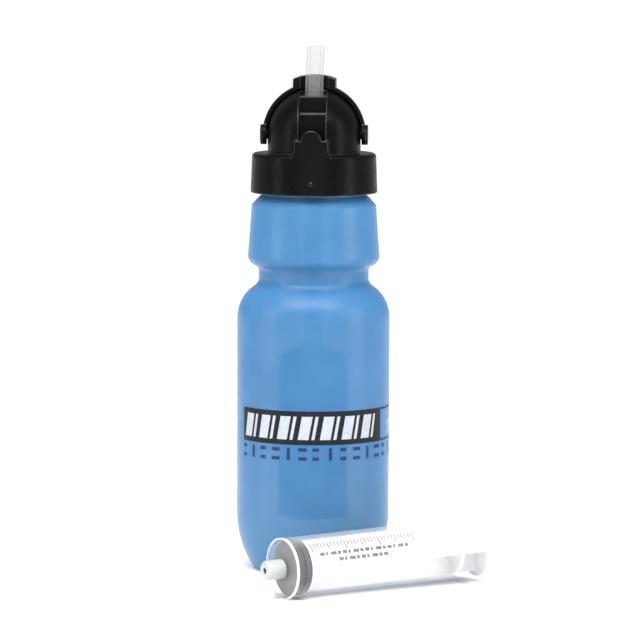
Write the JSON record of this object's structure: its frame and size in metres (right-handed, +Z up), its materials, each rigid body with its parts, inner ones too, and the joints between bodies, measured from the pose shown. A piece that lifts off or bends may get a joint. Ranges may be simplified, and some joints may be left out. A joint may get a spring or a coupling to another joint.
{
  "type": "pump water filter",
  "caption": "Squeeze bottle with a hollow-fibre water filter inside, a straw lid with a turning hood, and a hand plunger that pumps the filter clean.",
  "frame": {"origin": "centre of the bottle's standing face, on the table", "axes": "+Z up along the bottle's axis, -Y towards the front of the lid, where the hood closes"},
  "size_m": [0.1363, 0.1565, 0.275],
  "materials": {
    "bottle_plastic": "satin translucent blue",
    "lid_plastic": "satin black",
    "pale_silicone": "matt",
    "straw_silicone": "soft translucent",
    "white_plastic": "matt",
    "hose_plastic": "soft translucent",
    "filter_cap_plastic": "matt",
    "filter_case_plastic": "satin",
    "black_rubber": "matt",
    "potting_resin": "smooth",
    "fibre_plastic": "fine matt",
    "clear_plastic": "clear",
    "white_silicone": "soft",
    "grey_rubber": "matt",
    "rod_plastic": "satin"
  },
  "bodies": {
    "bottle": {"bottle": "bottle_plastic"},
    "lid_seal": {"lid_gasket": "pale_silicone"},
    "lid": {"lid_body": "lid_plastic", "vent_valve": "pale_silicone", "pivot_pins": "lid_plastic", "straw": "straw_silicone", "hose_connector": "white_plastic", "inner_hose": "hose_plastic", "filter_outlet_cap": "filter_cap_plastic", "filter_housing": "filter_case_plastic", "filter_inlet_cap": "filter_cap_plastic", "outlet_oring": "black_rubber", "inlet_oring": "black_rubber", "fibre_potting": "potting_resin", "fibre_bundle": "fibre_plastic"},
    "hood": {"hood": "lid_plastic"},
    "plunger_barrel": {"plunger_barrel": "clear_plastic", "nozzle_sleeve": "white_silicone"},
    "plunger_rod": {"plunger_rod": "rod_plastic", "plunger_stopper": "grey_rubber"}
  },
  "joints": [
    {"name": "lid_lift", "type": "slide", "parent": "bottle", "child": "lid_seal", "axis": [0, 0, 1], "range_m": [0, 0.0076]},
    {"name": "lid_turn", "type": "hinge", "parent": "lid_seal", "child": "lid", "pos_m": [0, 0, 0.2148], "axis": [0, 0, 1], "range_deg": [0, 450]},
    {"name": "hood_turn", "type": "hinge", "parent": "lid", "child": "hood", "pos_m": [0, 0, 0.2285], "axis": [1, 0, 0], "range_deg": [0, 90], "deforming": ["straw"]},
    {"name": "plunger_lift", "type": "slide", "parent": "bottle", "child": "plunger_barrel", "axis": [0, 0, 1], "range_m": [0, 0.3]},
    {"name": "rod_slide", "type": "slide", "parent": "plunger_barrel", "child": "plunger_rod", "axis": [0.8239, 0.5663, 0.0226], "range_m": [0, 0.09]}
  ],
  "couplings": [
    {"joint": "lid_lift", "follows": "lid_turn", "m_per_rad": 0.00095493}
  ]
}
